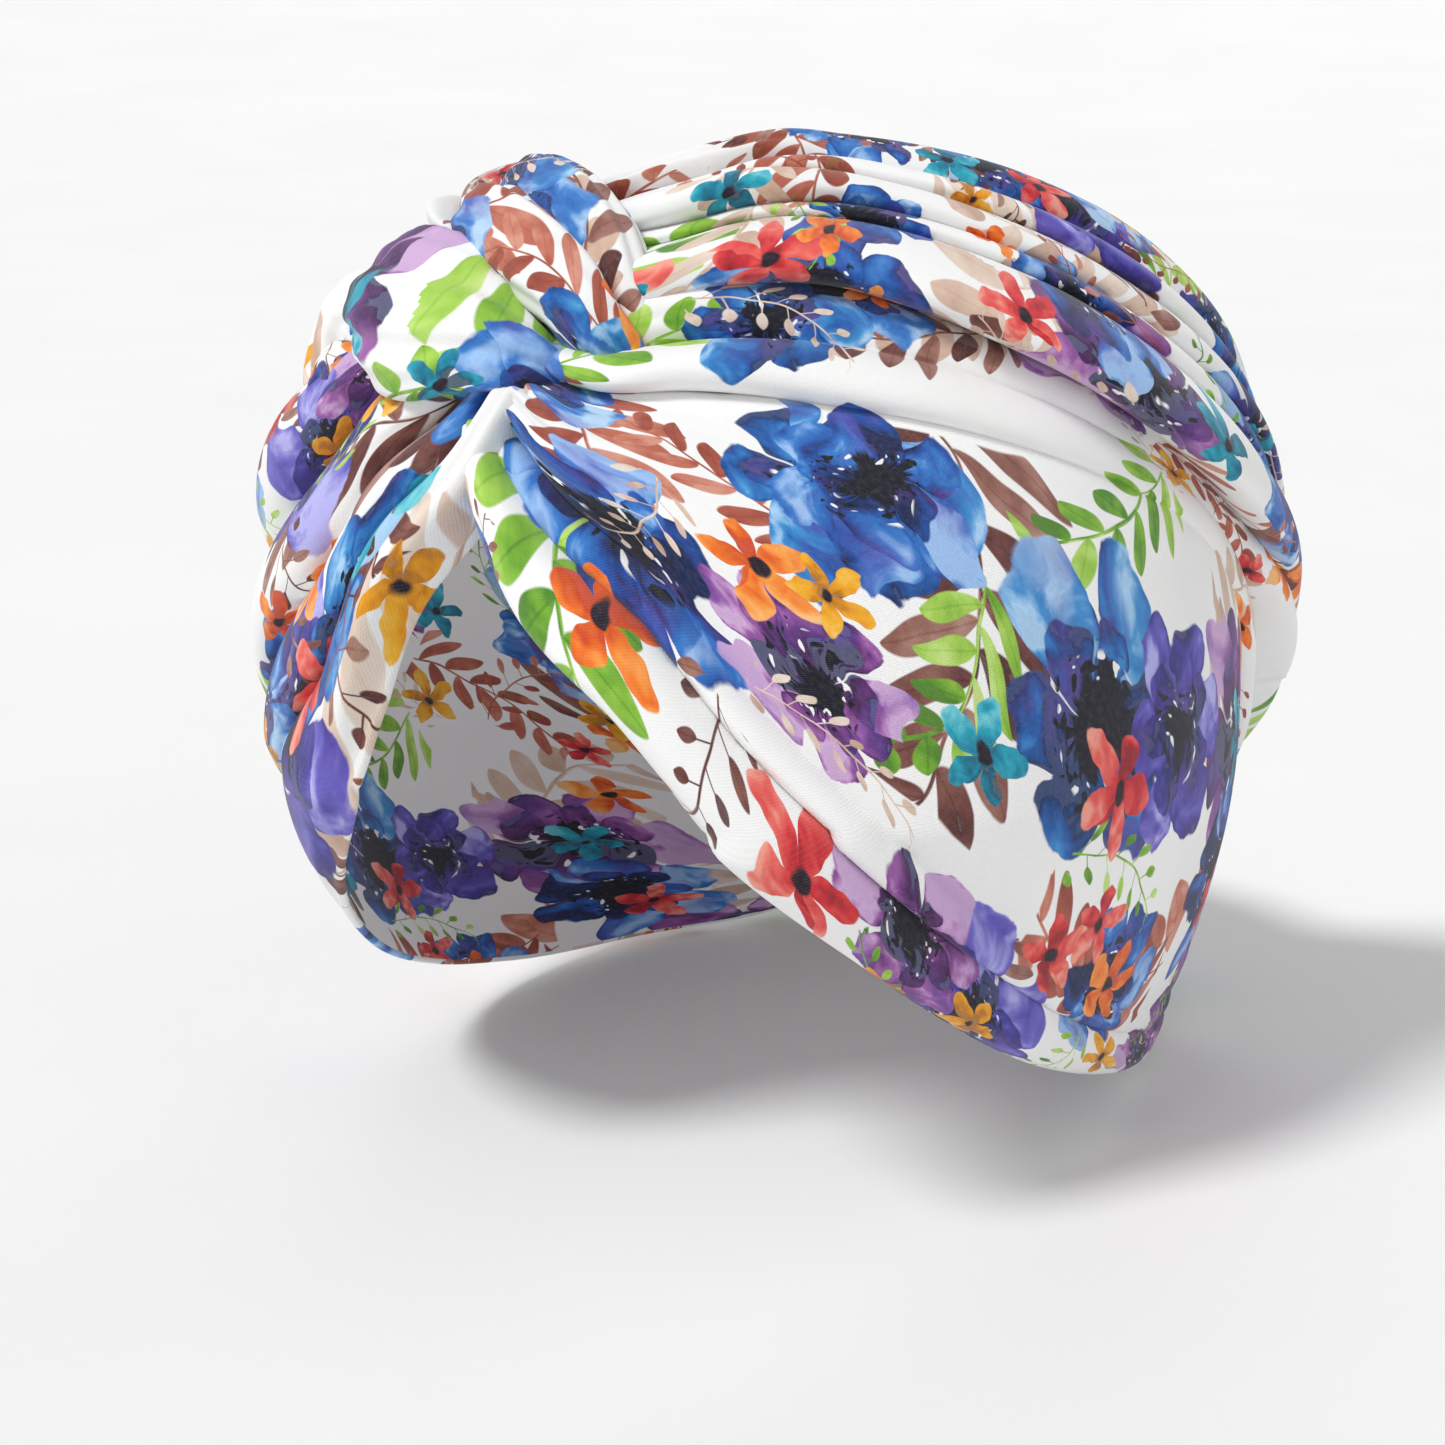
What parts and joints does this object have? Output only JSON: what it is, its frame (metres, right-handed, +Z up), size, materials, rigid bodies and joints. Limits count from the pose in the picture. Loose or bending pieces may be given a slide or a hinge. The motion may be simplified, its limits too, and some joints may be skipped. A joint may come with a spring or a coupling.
{
  "type": "knotted headband",
  "caption": "Wide fabric headband of two pleated printed strips looped through each other in a knot above the forehead, with an elastic casing at the back.",
  "frame": {"origin": "middle of the opening that the head fills, level with the forehead edge of the band", "axes": "+Z up through the crown, -Y towards the face, +X towards the wearer's left"},
  "size_m": [0.1605, 0.1874, 0.1663],
  "materials": {
    "printed_fabric": "matte floral print",
    "lining_fabric": "matte floral print",
    "elastic": "ribbed woven",
    "thread": "matte"
  },
  "bodies": {
    "root": {"left_face_panel": "printed_fabric", "left_lining": "lining_fabric", "right_face_panel": "printed_fabric", "right_lining": "lining_fabric"},
    "back": {"elastic_casing": "printed_fabric", "back_elastic": "elastic", "left_end_seam": "thread", "right_end_seam": "thread", "left_elastic_tack": "thread", "right_elastic_tack": "thread"}
  },
  "joints": [
    {"name": "back_stretch", "type": "slide", "parent": "root", "child": "back", "axis": [0, 1, 0], "range_m": [0, 0.018], "stiffness_N_per_m": 150}
  ]
}
